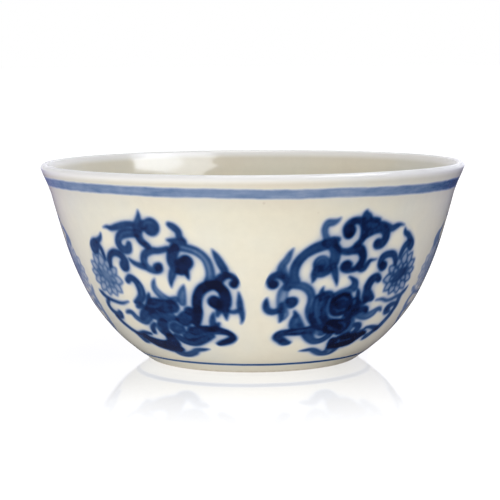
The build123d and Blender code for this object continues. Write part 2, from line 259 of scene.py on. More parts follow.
# lighter lines scraped or left through the washes: strength, points
LIGHT = [
 (.55, [(-4.28,-1.22,.35),(-4.18,-3.42,.40),(-3.18,-5.22,.40),(-1.48,-5.92,.40),(0.32,-5.92,.30)]),
 (.60, [(-4.38,-10.32,.55),(-3.78,-10.62,.75),(-3.28,-10.72,.5)]),
 (.55, [(-4.88,-8.82,.35),(-4.18,-9.62,.35)]),
 (.45, [(1.57,-12.12,.6),(1.67,-12.42,.5)]),
 (.70, [(0.42,-0.32,.7),(0.82,-1.02,.5)]),
 (.60, [(2.62,0.38,.6),(2.62,-1.02,.5),(2.72,-2.02,.3)]),
 (.45, [(1.42,-2.12,.5),(1.42,-2.82,.4)]),
 (.40, [(-7.78,-0.82,.3),(-7.68,-2.42,.4),(-7.28,-4.02,.3)]),
 (.35, [(-5.88,-1.82,.3),(-5.88,-3.42,.4),(-5.48,-4.82,.3)]),
 (.35, [(-9.78,-5.42,.5),(-9.58,-6.32,.5)]),
 (.35, [(-13.48,0.58,.9),(-13.58,-0.82,.9)]),
 (.35, [(3.52,-5.32,.3),(4.72,-5.22,.3)]),
 (.45, [(-12.28,-4.22,.4),(-12.28,-4.82,.3)]),
 (.35, [(8.52,-10.52,.8),(9.02,-11.02,.7)]),
 (.30, [(0.92,-15.02,.8),(1.02,-15.82,.7)]),
 # round the curl under the arch
 (.42, [(-8.75,6.7,.28),(-8.0,7.45,.34),(-6.95,7.2,.34),(-6.45,6.2,.34),(-6.9,5.2,.28)]),
 (.30, [(-8.1,6.4,.25),(-7.6,6.7,.30),(-7.2,6.3,.25)]),
 (.30, [(-6.6,9.6,.25),(-5.8,8.6,.30),(-5.6,7.2,.25)]),
 # fine arcs in the heart
 (.42, [(-6.9,-1.2,.28),(-6.7,-3.0,.34),(-6.0,-5.0,.34),(-4.6,-6.9,.30)]),
 (.38, [(-3.2,0.2,.25),(-1.6,0.6,.30),(0.2,0.0,.30),(1.0,-1.2,.25)]),
 (.40, [(-0.6,-6.9,.30),(0.6,-7.4,.34),(1.5,-8.4,.30)]),
 (.36, [(-3.0,-7.4,.28),(-1.6,-8.6,.32),(0.0,-9.2,.28)]),
 (.30, [(-2.6,-1.6,.28),(-1.4,-1.2,.30),(-0.3,-1.8,.28)]),
 (.30, [(-2.9,-3.4,.28),(-1.6,-4.2,.30),(-0.2,-3.9,.28)]),
 (.34, [(1.0,-12.9,.30),(2.6,-12.5,.34),(4.4,-12.1,.28)]),
 (.34, [(-10.2,-8.9,.28),(-8.4,-8.6,.32),(-6.4,-8.4,.28)]),
]


# the roundel's second drawing, as it faces right; it is painted turned round
LEFT = [
 ("t1", 0.86, 0.94, [(-2.3,13.6,3.5),(-2.2,13.5,3.5)]),
 ("t1b", 0.84, 0.94, [(-0.8,14.0,1.8),(0.8,12.8,2.0),(0.6,10.9,1.6),(-0.9,9.6,1.3)]),
 ("t2", 0.66, 0.86, [(0.0,16.9,.12),(0.1,15.6,.9),(0.5,14.4,1.5),(1.2,13.4,1.6)]),
 ("t4", 0.78, 0.92, [(1.0,12.2,1.7),(3.4,12.1,1.9),(5.4,11.4,1.7),(6.2,9.9,1.5),(5.2,8.7,1.6),(3.9,8.8,1.7),(3.5,9.9,1.2)]),
 ("t5", 0.72, 0.88, [(1.6,13.9,1.1),(3.4,13.8,1.2),(5.4,13.3,1.3),(7.4,12.8,1.0),(8.6,13.0,.6),(9.9,12.8,.1)]),
 ("f1", 0.76, 0.90, [(-6.1,14.2,1.0),(-6.9,13.7,1.4),(-7.7,12.9,1.3),(-7.8,11.8,1.3),(-8.3,10.9,1.5)]),
 ("f2", 0.78, 0.92, [(-8.3,10.8,1.5),(-6.8,10.9,1.3),(-5.2,11.1,.4)]),
 ("a1", 0.64, 0.86, [(-6.2,9.7,1.6),(-8.2,9.7,1.6),(-10.6,9.0,1.7),(-12.1,7.5,1.7),(-12.5,5.6,1.7),(-12.3,3.9,1.7),(-11.6,2.7,1.6)]),
 ("c1", 0.90, 0.97, [(-6.6,9.6,1.9),(-5.7,8.2,2.1),(-5.4,6.6,2.0),(-5.9,5.0,1.6)]),
 ("c2", 0.98, 1.03, [(-8.3,6.9,2.7),(-7.4,6.1,2.9),(-6.8,5.2,2.2)]),
 ("c5", 0.84, 0.95, [(-7.8,5.0,1.2),(-7.9,4.0,.8),(-8.0,3.1,.1)]),
 ("c4", 0.70, 0.90, [(-5.6,5.6,1.4),(-4.9,4.2,1.5),(-4.3,2.8,1.0),(-4.0,1.3,.12)]),
 ("s1", 0.74, 0.90, [(-5.0,9.4,1.0),(-3.0,8.9,1.2),(-1.4,8.8,1.4),(0.2,8.0,1.5),(0.7,6.7,1.5),(0.3,5.4,1.5),(-1.2,4.8,1.4),(-2.4,5.1,1.4),(-2.6,5.9,1.3)]),
 ("s2", 0.88, 0.95, [(-2.2,5.6,1.7),(-1.9,5.5,1.6)]),
 ("s3", 0.66, 0.84, [(0.9,5.5,1.4),(2.2,5.7,1.1),(3.4,6.2,.9),(4.3,7.0,.3)]),
 ("h1", 0.56, 0.78, [(-0.9,3.2,.1),(-0.3,2.0,.9),(-0.4,0.6,1.4),(-1.6,-0.8,1.6),(-3.0,-1.6,1.5)]),
 ("h2", 0.62, 0.82, [(-6.8,2.2,.1),(-6.2,0.9,1.2),(-5.6,-0.6,1.8),(-5.4,-1.8,1.6)]),
 ("h3", 0.66, 0.84, [(-4.4,-1.1,1.3),(-3.2,-1.5,1.5)]),
 ("h4", 0.80, 0.93, [(1.4,-0.2,.4),(1.8,-1.2,1.0),(2.0,-2.4,1.3)]),
 ("l1", 0.97, 1.02, [(-16.28,2.38,1.6),(-16.88,3.18,1.2),(-16.38,4.08,1.2),(-15.28,4.28,1.4),(-14.18,3.68,1.6),(-13.48,2.68,1.7),(-13.28,1.68,1.9)]),
 ("l2", 0.72, 0.88, [(-13.6,9.6,.1),(-14.2,8.2,1.1),(-14.7,6.8,1.5),(-15.2,5.4,1.5),(-15.0,4.6,1.0)]),
 ("l4", 1.00, 1.06, [(-13.4,2.2,2.0),(-14.1,0.9,2.2),(-14.1,-0.7,2.2),(-13.6,-2.0,2.2),(-12.8,-2.8,1.8)]),
 ("l5", 1.02, 1.06, [(-12.0,-1.0,2.0),(-11.6,-1.6,2.2),(-12.3,-2.4,1.8)]),
 ("l8", 0.74, 0.90, [(-16.9,0.9,.2),(-16.7,-0.8,.9),(-16.4,-2.4,1.2),(-16.3,-4.0,1.0),(-16.0,-5.4,.6),(-15.3,-6.6,.1)]),
 ("l9", 0.70, 0.88, [(-13.6,-3.2,.8),(-14.6,-3.6,.9),(-15.6,-3.4,.9),(-16.4,-2.8,.8)]),
 ("l6", 0.80, 0.94, [(-13.6,-2.6,1.6),(-13.3,-4.0,1.1),(-13.0,-5.6,.2)]),
 ("l7", 0.76, 0.92, [(-12.3,-3.2,1.3),(-11.7,-4.2,.8),(-11.4,-4.9,.2)]),
 ("b1", 1.02, 1.07, [(-13.3,2.3,1.9),(-11.6,2.1,2.0),(-10.0,1.2,2.0),(-8.9,-0.3,1.9),(-8.3,-2.0,1.9),(-8.0,-3.8,1.9),(-7.4,-5.4,1.7),(-6.8,-6.6,1.5)]),
 ("b2", 0.78, 0.93, [(-11.1,-3.6,.1),(-10.6,-4.8,.9),(-10.2,-6.0,1.2),(-10.0,-7.2,1.4)]),
 ("b3", 0.84, 0.95, [(-11.4,-6.2,.4),(-10.6,-7.2,1.0),(-9.4,-8.0,1.4)]),
 ("m1", 1.00, 1.06, [(-5.5,-8.6,2.4),(-8.0,-8.3,2.4),(-10.4,-8.2,2.0),(-12.3,-8.9,1.5),(-12.7,-10.0,1.4),(-11.6,-11.0,1.5),(-10.2,-11.6,1.4),(-9.3,-12.0,1.0)]),
 ("m2", 0.84, 0.97, [(-8.6,-9.6,1.6),(-6.4,-11.0,1.9),(-4.4,-11.9,2.0),(-2.6,-11.6,1.8),(-1.4,-10.2,1.5)]),
 ("m3", 0.76, 0.92, [(-7.0,-8.8,2.6),(-5.2,-9.6,2.8),(-3.8,-10.2,2.2)]),
 ("u1", 0.72, 0.88, [(-6.9,-13.6,.12),(-5.4,-13.9,.9),(-4.0,-14.2,1.2),(-2.8,-15.2,1.5),(-1.0,-16.0,1.6),(0.4,-15.8,1.6),(1.0,-14.8,1.4)]),
 ("d6", 0.80, 0.92, [(-2.0,-5.4,2.4),(0.0,-5.4,2.6),(1.8,-5.2,2.2)]),
 ("d1", 0.90, 0.98, [(-3.0,-2.8,3.0),(-1.2,-2.9,3.2),(1.0,-2.6,2.8),(2.4,-3.6,2.2)]),
 ("d2", 0.92, 0.98, [(-6.4,-3.6,1.9),(-6.2,-3.7,1.9)]),
 ("d3", 0.84, 0.98, [(-5.4,-5.2,3.0),(-4.4,-6.0,3.0)]),
 ("d5", 0.84, 0.95, [(0.4,-7.0,2.6),(1.2,-8.6,2.6),(0.6,-10.0,2.2)]),
 ("d4", 0.84, 0.96, [(-2.3,-8.0,3.4),(-2.1,-8.1,3.4)]),
 ("n1", 1.00, 1.08, [(0.3,-10.8,2.2),(0.4,-12.6,3.0),(2.0,-13.4,3.0),(4.0,-13.2,2.8),(5.8,-12.4,2.2),(7.2,-11.4,1.6)]),
 ("n2", 0.90, 0.98, [(-0.4,-14.2,1.8),(1.6,-14.6,1.6),(3.4,-14.2,1.2)]),
 ("n5", 0.78, 0.92, [(2.6,-7.4,.8),(3.6,-8.6,1.2),(3.8,-9.8,1.2)]),
 ("r1", 0.80, 0.93, [(5.9,2.2,1.4),(5.0,2.9,1.4),(3.8,2.2,1.5),(3.2,0.8,1.8),(3.3,-0.8,1.8),(4.2,-1.9,1.6),(5.6,-2.6,.8)]),
 ("r2", 0.80, 0.92, [(2.4,-4.2,1.8),(4.2,-5.0,1.8),(5.4,-6.6,1.2)]),
 ("r3", 0.64, 0.82, [(3.2,-6.0,1.4),(5.0,-7.2,1.5),(6.8,-6.4,1.4),(7.6,-5.2,1.2),(8.8,-5.2,.9),(9.6,-5.6,.2)]),
 ("r4", 0.72, 0.88, [(4.0,-3.2,1.2),(5.4,-3.6,.9)]),
 ("w1", 0.84, 0.95, [(5.8,5.3,2.5),(5.4,6.4,1.6),(6.3,7.5,1.5),(7.8,7.9,1.5),(9.2,7.2,1.4),(9.8,5.9,1.4),(9.8,4.6,1.0)]),
 ("x1", 0.80, 0.92, [(10.7,11.6,.3),(11.2,10.6,.9),(12.4,9.9,1.2),(13.6,9.7,1.3),(14.4,8.9,1.6),(13.9,7.9,1.8),(13.1,8.3,1.6)]),
 ("x2", 0.76, 0.90, [(12.6,9.4,1.1),(11.6,8.4,1.0),(11.2,7.2,.9),(11.0,6.3,.7)]),
 ("v1", 0.66, 0.84, [(16.8,-1.0,.2),(15.8,-1.6,1.1),(14.4,-2.4,.9),(12.0,-3.0,.8),(9.6,-3.2,.7),(7.4,-2.6,.3)]),
 ("v2", 0.74, 0.88, [(14.0,-2.8,1.0),(14.9,-3.9,1.2),(14.6,-5.2,1.2),(13.2,-6.2,1.3),(12.0,-6.4,1.9),(11.6,-5.9,1.6)]),
 ("v3", 0.72, 0.88, [(13.6,-6.8,1.0),(12.4,-8.4,1.1),(10.8,-9.8,1.1),(9.4,-10.8,1.1),(8.6,-11.8,1.5),(8.0,-12.9,1.3),(7.2,-13.2,.6)]),
 ("v4", 0.80, 0.92, [(5.0,-10.4,.8),(6.6,-10.3,1.1),(8.4,-10.9,1.1),(9.6,-10.8,.9)]),
]
LEFT_LIGHT = [
 (.45, [(-8.0,9.8,.30),(-10.4,9.0,.35),(-11.9,7.4,.35),(-12.3,5.4,.35),(-12.0,3.8,.30)]),
 (.50, [(-3.5,-7.2,.40),(-2.3,-6.4,.42),(-0.8,-7.2,.42),(-0.6,-8.8,.40),(-1.9,-9.8,.40),(-3.4,-9.2,.35)]),
 (.30, [(-2.6,-7.8,.30),(-2.0,-8.2,.30)]),
 (.36, [(-4.2,-3.6,.30),(-3.4,-4.8,.35),(-1.8,-4.6,.30)]),
 (.35, [(1.4,-6.2,.30),(2.2,-7.6,.30),(2.0,-9.0,.30)]),
 (.32, [(-10.8,-8.6,.30),(-8.8,-9.0,.32),(-7.2,-9.4,.28)]),
 (.30, [(-0.6,-2.4,.28),(0.8,-3.2,.32),(2.0,-3.0,.28)]),
 (.35, [(-6.2,0.6,.25),(-5.9,-0.8,.30)]),
 (.35, [(-0.6,1.8,.25),(-0.8,0.6,.35),(-1.8,-0.4,.28)]),
 (.40, [(-2.6,14.4,.30),(-1.4,14.4,.32),(-0.6,13.4,.28)]),
 (.35, [(3.2,1.6,.25),(2.9,0.4,.30),(3.2,-0.8,.25)]),
 (.30, [(0.0,10.8,.28),(0.5,12.2,.30)]),
 (.35, [(2.6,12.4,.28),(4.6,11.9,.32),(5.6,10.6,.28)]),
 (.30, [(-1.4,5.2,.25),(0.0,5.8,.30),(0.4,7.0,.28)]),
]



def lotus(near, sm, mirror=False):
    """An open lotus of two rings of pointed petals, outlined, with a dark heart."""
    import numpy as np
    sx = -1 if mirror else 1
    c = np.array([11.95 * sx, 2.45])
    outer = [(16.9,3.3,.95),(16.4,5.3,.95),(14.9,7.0,.95),(12.7,7.5,.95),(10.5,6.1,.85),(8.3,4.5,.85),(7.4,1.7,.95),(8.4,-0.7,.85),(10.3,-1.6,.9),(12.8,-1.7,.9),(15.1,-0.8,.95),(16.5,1.2,.95)]
    inner = [(14.9,3.7,.75),(13.8,5.1,.75),(11.7,5.2,.75),(9.8,3.9,.72),(9.2,1.6,.72),(10.7,0.1,.65),(12.9,-0.1,.68),(14.7,1.3,.72)]

    def go(U, V, D):
        sl, dd = near(U, V, [(10.6 * sx, 1.6, 5.5), (12.6 * sx, 3.2, 6.0)])
        D[sl] = np.maximum(D[sl], sm((0.6 - dd) / 1.6) * .24)
        for tips, rb, wash, line in ((outer, 2.1, .18, .70 if mirror else .88), (inner, 0.9, .22, .72 if mirror else .90)):
            for tx, ty, hw in tips:
                tx = tx * sx
                d = np.array([tx, ty]) - c
                L = np.hypot(*d)
                d /= L
                nrm = np.array([-d[1], d[0]])
                base, m = c + d * rb, c + d * (rb + (L - rb) * .42)
                sl, dd = near(U, V, [(base[0], base[1], hw * .8), (m[0], m[1], hw * 1.5), (tx, ty, .15)])
                cov = sm((0.2 - dd) / 0.5)
                D[sl] = D[sl] * (1 - cov) + cov * wash
                sl, dd = near(U, V, [(base[0], base[1], .34), (m[0], m[1], .26), (*(c + d * (L * .86)), .10)])
                D[sl] = np.maximum(D[sl], sm((0.14 - dd) / 0.34) * .52)
                for sgn in (1, -1):
                    a, b2 = base + nrm * sgn * hw * .45, m + nrm * sgn * hw
                    q = c + d * (rb + (L - rb) * .80) + nrm * sgn * hw * .50
                    sl, dd = near(U, V, [(a[0], a[1], .34), (b2[0], b2[1], .46), (q[0], q[1], .44), (tx, ty, .36)])
                    D[sl] = np.maximum(D[sl], sm((0.16 - dd) / 0.34) * line)
        for pts, t in (([(10.3, 1.2, 1.3), (11.6, 1.9, 2.0), (12.8, 2.8, 2.1), (13.8, 3.5, 1.4)], .56 if mirror else .90), ([(10.2, 2.3, .8), (11.2, 3.1, 1.0), (12.2, 3.8, .9)], .48 if mirror else .74)):
            sl, dd = near(U, V, [(x * sx, y, w) for x, y, w in pts])
            D[sl] = np.maximum(D[sl], sm((0.25 - dd) / 0.55) * t)
        for pts in ([(10.9, 1.5, .22), (12.0, 2.2, .30), (13.2, 3.1, .22)], [(11.3, 2.4, .2), (12.2, 3.0, .26), (13.0, 3.6, .2)]):
            sl, dd = near(U, V, [(x * sx, y, w) for x, y, w in pts])
            D[sl] *= 1 - .40 * sm((0.12 - dd) / 0.34)
        return D
    return go




# ---------------------------------------------------------------- brush work
def brush(pts, step=0.06):
    P = np.array(pts, float)
    Q = np.vstack([2 * P[0] - P[1], P, 2 * P[-1] - P[-2]])
    out = []
    for i in range(len(P) - 1):
        a, b, c, d = Q[i:i + 4]
        n = max(2, int(np.hypot(*(c - b)[:2]) / step))
        t = np.linspace(0, 1, n, endpoint=False)[:, None]
        out.append(0.5 * ((2 * b) + (-a + c) * t + (2 * a - 5 * b + 4 * c - d) * t ** 2 + (-a + 3 * b - 3 * c + d) * t ** 3))
    return np.vstack(out + [P[-1:]])


def near(U, V, pts, grow=0.0):
    """Distance to the stroke's edge, negative inside it, over the patch of grid that it touches."""
    C = brush(pts)
    W = np.maximum(C[:, 2] + grow, .02) / 2
    lo, hi = C[:, :2].min(0) - W.max() - 1.2, C[:, :2].max(0) + W.max() + 1.2
    u, v = U[0], V[:, 0]
    i0, i1 = np.searchsorted(u, [lo[0], hi[0]])
    j0, j1 = np.searchsorted(v, [lo[1], hi[1]])
    d = np.hypot(u[i0:i1][None, :, None] - C[:, 0], v[j0:j1][:, None, None] - C[:, 1]) - W
    return (slice(j0, j1), slice(i0, i1)), d.min(-1)


def soft(x):
    x = np.clip(x, 0, 1)
    return x * x * (3 - 2 * x)


def blurred(D, sigma, h):
    r = int(3 * sigma / h) + 1
    k = np.exp(-0.5 * (np.arange(-r, r + 1) * h / sigma) ** 2)
    k /= k.sum()
    D = np.apply_along_axis(lambda x: np.convolve(x, k, "same"), 0, D)
    return np.apply_along_axis(lambda x: np.convolve(x, k, "same"), 1, D)


def drift(U, V, cell, seed):
    g = np.random.default_rng(seed).random((64, 64))
    x, y = (U / cell + 31.7) % 64, (V / cell + 17.3) % 64
    i, j = x.astype(int), y.astype(int)
    fx, fy = soft(x - i), soft(y - j)
    a, b, c, d = g[j % 64, i % 64], g[j % 64, (i + 1) % 64], g[(j + 1) % 64, i % 64], g[(j + 1) % 64, (i + 1) % 64]
    return (a * (1 - fx) + b * fx) * (1 - fy) + (c * (1 - fx) + d * fx) * fy


def paint(U, V, strokes, light, flower, seed=5, halo=0.46, grow=0.24):
    """Amount of cobalt: each stroke is a wash with a darker line round it; it bleeds a little into the glaze."""
    h = U[0, 1] - U[0, 0]
    D = np.zeros_like(U)
    for name, wash, line, pts in strokes:
        sl, d = near(U, V, pts, grow)
        cov = soft((0.12 - d) / 0.30)
        edge = np.exp(-((d + 0.28) / 0.26) ** 2)
        t = wash + (line - wash) * edge
        D[sl] = np.maximum(D[sl] * (1 - 0.15 * cov), cov * t) + 0.10 * np.minimum(D[sl], cov * t)
    for k, pts in light:
        sl, d = near(U, V, pts, 0.1)
        D[sl] *= 1 - k * soft((0.15 - d) / 0.42)
    D = flower(U, V, D)
    n = 0.55 * drift(U, V, 1.5, seed) + 0.3 * drift(U, V, .6, seed + 1) + 0.15 * drift(U, V, .3, seed + 2)
    D = blurred(D * (0.90 + 0.22 * n), 0.22, h)
    return D + halo * blurred(D, 0.95, h) * (1 - np.clip(D, 0, 1))


EXT, GRID = 18.4, 320


def medallion(name, angle, centre_s, D):
    """A round sheet on the wall, 0.03 mm proud of the glaze and less at its edge, carrying the ink as an attribute."""
    ax = np.linspace(-EXT, EXT, GRID)
    U, V = np.meshgrid(ax, ax)
    rad = np.hypot(U, V)
    edge = 17.55 + 0.65 * soft((V + 7.0) / 5.0)          # the wall curves in too fast below for a wider sheet
    r, z = wall(centre_s + V, 0.008 + 0.022 * soft((edge - rad) / 1.6))
    th = math.radians(angle) + U / np.interp(centre_s + V, S_OUT, outer_c[:, 0])
    X, Y = r * np.sin(th), -r * np.cos(th)
    keep = rad < edge + 0.1
    D = D * soft((edge - rad) / 0.5)
    cell = keep[:-1, :-1] & keep[1:, :-1] & keep[1:, 1:] & keep[:-1, 1:]
    used = np.zeros_like(keep)
    for a, b in ((0, 0), (1, 0), (1, 1), (0, 1)):
        used[a:GRID - 1 + a, b:GRID - 1 + b] |= cell
    idx = -np.ones(keep.shape, int)
    idx[used] = np.arange(used.sum())
    verts = np.stack([X[used], Y[used], z[used]], -1)
    j, i = np.nonzero(cell)
    faces = np.stack([idx[j, i], idx[j, i + 1], idx[j + 1, i + 1], idx[j + 1, i]], -1)
    ob = new_mesh(name, verts, faces)
    att = ob.data.attributes.new("ink", "FLOAT", "POINT")
    att.data.foreach_set("value", D[used].astype(np.float32))
    return ob


# ---------------------------------------------------------------- materials
def nodes_of(name):
    m = bpy.data.materials.new(name)
    m.use_nodes = True
    nt = m.node_tree
    nt.nodes.clear()
    out = nt.nodes.new("ShaderNodeOutputMaterial")
    b = nt.nodes.new("ShaderNodeBsdfPrincipled")
    nt.links.new(b.outputs["BSDF"], out.inputs["Surface"])
    return m, nt, b


def node(nt, kind, **props):
    n = nt.nodes.new(kind)
    for k, v in props.items():
        if k.startswith("in_"):
            n.inputs[k[3:].replace("_", " ")].default_value = v
        else:
            setattr(n, k, v)
    return n


def ramp(nt, stops, interp="LINEAR"):
    n = nt.nodes.new("ShaderNodeValToRGB")
    n.color_ramp.interpolation = interp
    while len(n.color_ramp.elements) < len(stops):
        n.color_ramp.elements.new(0.5)
    for e, (p, c) in zip(n.color_ramp.elements, stops):
        e.position, e.color = p, (c if len(c) == 4 else (*c, 1.0))
    return n


def math_node(nt, op, a=None, b=None, clamp=False):
    n = nt.nodes.new("ShaderNodeMath")
    n.operation, n.use_clamp = op, clamp
    for k, v in ((0, a), (1, b)):
        if v is None:
            continue
        if isinstance(v, (int, float)):
            n.inputs[k].default_value = v
        else:
            nt.links.new(v, n.inputs[k])
    return n.outputs[0]


def mix(nt, fac, a, b, blend="MIX"):
    n = nt.nodes.new("ShaderNodeMix")
    n.data_type, n.blend_type = "RGBA", blend
    for k, v in ((0, fac), (6, a), (7, b)):
        if isinstance(v, (int, float)):
            n.inputs[k].default_value = v
        elif isinstance(v, tuple):
            n.inputs[k].default_value = (*v, 1.0)
        else:
            nt.links.new(v, n.inputs[k])
    return n.outputs[2]


IVORY = (0.84, 0.80, 0.675)
IVORY_COOL = (0.80, 0.785, 0.70)
IVORY_WARM = (0.85, 0.785, 0.645)


# painted light and shade: a colour factor by height, lighter round the belly and darker at the foot and under the rim
PAINTED_BELLY_LIGHT = [(0.0, (0.93, 0.93, 0.93)), (0.13, (0.985, 0.985, 0.985)), (0.35, (0.99, 0.99, 0.985)), (0.55, (1.055, 1.055, 1.045)), (0.70, (1.085, 1.085, 1.06)), (0.81, (1.045, 1.045, 1.015)), (0.88, (0.94, 0.94, 0.94)), (1.0, (0.95, 0.95, 0.955))]


def ground(nt):
    """Ivory glaze colour, the same wherever it is used: broad warm and cool drifts, fine mottle, a few iron specks,
    painted light and shade by height, and a near-white lip that is partly a painted highlight.
    """
    pos = node(nt, "ShaderNodeTexCoord").outputs["Object"]
    broad = node(nt, "ShaderNodeTexNoise", in_Scale=38.0, in_Detail=3.0, in_Roughness=0.55)
    fine = node(nt, "ShaderNodeTexNoise", in_Scale=520.0, in_Detail=4.0, in_Roughness=0.6)
    for n in (broad, fine):
        nt.links.new(pos, n.inputs["Vector"])
    drift = ramp(nt, [(0.35, IVORY_COOL), (0.5, IVORY), (0.68, IVORY_WARM)])
    nt.links.new(broad.outputs["Fac"], drift.inputs["Fac"])
    mott = ramp(nt, [(0.3, (0.965, 0.965, 0.965)), (0.7, (1.0, 1.0, 1.0))])
    nt.links.new(fine.outputs["Fac"], mott.inputs["Fac"])
    col = mix(nt, 1.0, drift.outputs["Color"], mott.outputs["Color"], "MULTIPLY")
    cells = node(nt, "ShaderNodeTexVoronoi", in_Scale=420.0, in_Randomness=1.0)
    nt.links.new(pos, cells.inputs["Vector"])
    pick = math_node(nt, "GREATER_THAN", cells.outputs["Color"], 0.86)
    spot = ramp(nt, [(0.0, (1, 1, 1)), (0.16, (0, 0, 0))])
    nt.links.new(cells.outputs["Distance"], spot.inputs["Fac"])
    speck = math_node(nt, "MULTIPLY", pick, math_node(nt, "MULTIPLY", spot.outputs["Color"], 0.30))
    high = node(nt, "ShaderNodeSeparateXYZ")
    nt.links.new(pos, high.inputs["Vector"])
    # the lip is painted near white: partly the thinner glaze there showing the whiter body, partly a painted highlight
    # along the lip
    lip_white_and_highlight = node(nt, "ShaderNodeMapRange", interpolation_type="SMOOTHSTEP")
    for k, v in (("From Min", 0.0377), ("From Max", 0.0390), ("To Min", 0.0), ("To Max", 0.94)):
        lip_white_and_highlight.inputs[k].default_value = v
    nt.links.new(high.outputs["Z"], lip_white_and_highlight.inputs["Value"])
    # painted light and shade by height: the coat is painted a little lighter round the belly, a painted highlight, and
    # darker at the foot and under the rim, painted shade
    painted_belly_light = ramp(nt, PAINTED_BELLY_LIGHT)
    nt.links.new(math_node(nt, "MULTIPLY", high.outputs["Z"], 25.0, clamp=True), painted_belly_light.inputs["Fac"])
    col = mix(nt, 1.0, col, painted_belly_light.outputs["Color"], "MULTIPLY")
    col = mix(nt, lip_white_and_highlight.outputs["Result"], col, (0.985, 0.98, 0.96))
    return pos, mix(nt, speck, col, (0.42, 0.33, 0.22))


def gloss(nt, b, pos, rough=0.075, spread=0.05):
    """Glassy surface: roughness drifts a little, with a soft orange-peel ripple and fine pin pricks."""
    n1 = node(nt, "ShaderNodeTexNoise", in_Scale=90.0, in_Detail=4.0)
    nt.links.new(pos, n1.inputs["Vector"])
    nt.links.new(math_node(nt, "ADD", math_node(nt, "MULTIPLY", n1.outputs["Fac"], spread), rough - spread / 2), b.inputs["Roughness"])
    peel = node(nt, "ShaderNodeTexNoise", in_Scale=170.0, in_Detail=2.0, in_Roughness=0.4)
    fine = node(nt, "ShaderNodeTexNoise", in_Scale=900.0, in_Detail=2.0, in_Roughness=0.5)
    for n in (peel, fine):
        nt.links.new(pos, n.inputs["Vector"])
    h = math_node(nt, "ADD", peel.outputs["Fac"], math_node(nt, "MULTIPLY", fine.outputs["Fac"], 0.06))
    bump = node(nt, "ShaderNodeBump", in_Strength=0.35, in_Distance=0.00006)
    nt.links.new(h, bump.inputs["Height"])
    nt.links.new(bump.outputs["Normal"], b.inputs["Normal"])
    b.inputs["IOR"].default_value = 1.5
    b.inputs["Specular IOR Level"].default_value = 0.35


# cobalt under glaze by how much pigment lies there
COBALT = [(0.0, (0.84, 0.80, 0.675)), (0.088, (0.70, 0.705, 0.67)), (0.194, (0.50, 0.535, 0.60)), (0.30, (0.35, 0.41, 0.54)),
          (0.405, (0.21, 0.288, 0.45)), (0.51, (0.122, 0.20, 0.354)), (0.615, (0.054, 0.120, 0.270)),
          (0.72, (0.020, 0.067, 0.190)), (0.81, (0.008, 0.038, 0.135)), (0.88, (0.003, 0.014, 0.070)), (1.0, (0.001, 0.004, 0.028))]


def cobalt(nt, ink, pos, base):
    """Ink amount to colour, over the ivory where there is little of it."""
    n = node(nt, "ShaderNodeTexNoise", in_Scale=1500.0, in_Detail=5.0, in_Roughness=0.65)
    w = node(nt, "ShaderNodeTexNoise", in_Scale=330.0, in_Detail=4.0, in_Roughness=0.6)
    for t in (n, w):
        nt.links.new(pos, t.inputs["Vector"])
    vary = math_node(nt, "ADD", math_node(nt, "MULTIPLY", n.outputs["Fac"], 0.10), math_node(nt, "MULTIPLY", w.outputs["Fac"], 0.26))
    k = math_node(nt, "MULTIPLY", ink, math_node(nt, "ADD", math_node(nt, "MULTIPLY", vary, 0.88), 0.74), clamp=True)
    col = ramp(nt, COBALT)
    nt.links.new(k, col.inputs["Fac"])
    cover = math_node(nt, "MULTIPLY", k, 6.8, clamp=True)
    return mix(nt, cover, base, col.outputs["Color"])


glaze_mat, nt, b = nodes_of("ivory_glaze")
pos, col = ground(nt)
nt.links.new(col, b.inputs["Base Color"])
gloss(nt, b, pos)

paint_mat, nt, b = nodes_of("cobalt_painting")
pos, col = ground(nt)
ink = node(nt, "ShaderNodeAttribute", attribute_name="ink")
nt.links.new(cobalt(nt, ink.outputs["Fac"], pos, col), b.inputs["Base Color"])
gloss(nt, b, pos)

biscuit_mat, nt, b = nodes_of("biscuit")
pos = node(nt, "ShaderNodeTexCoord").outputs["Object"]
n = node(nt, "ShaderNodeTexNoise", in_Scale=700.0, in_Detail=6.0, in_Roughness=0.7)
nt.links.new(pos, n.inputs["Vector"])
c = ramp(nt, [(0.3, (0.62, 0.55, 0.44)), (0.6, (0.74, 0.69, 0.59))])
nt.links.new(n.outputs["Fac"], c.inputs["Fac"])
nt.links.new(c.outputs["Color"], b.inputs["Base Color"])
nt.links.new(math_node(nt, "ADD", math_node(nt, "MULTIPLY", n.outputs["Fac"], 0.25), 0.55), b.inputs["Roughness"])
bump = node(nt, "ShaderNodeBump", in_Strength=0.5, in_Distance=0.00008)
nt.links.new(n.outputs["Fac"], bump.inputs["Height"])
nt.links.new(bump.outputs["Normal"], b.inputs["Normal"])


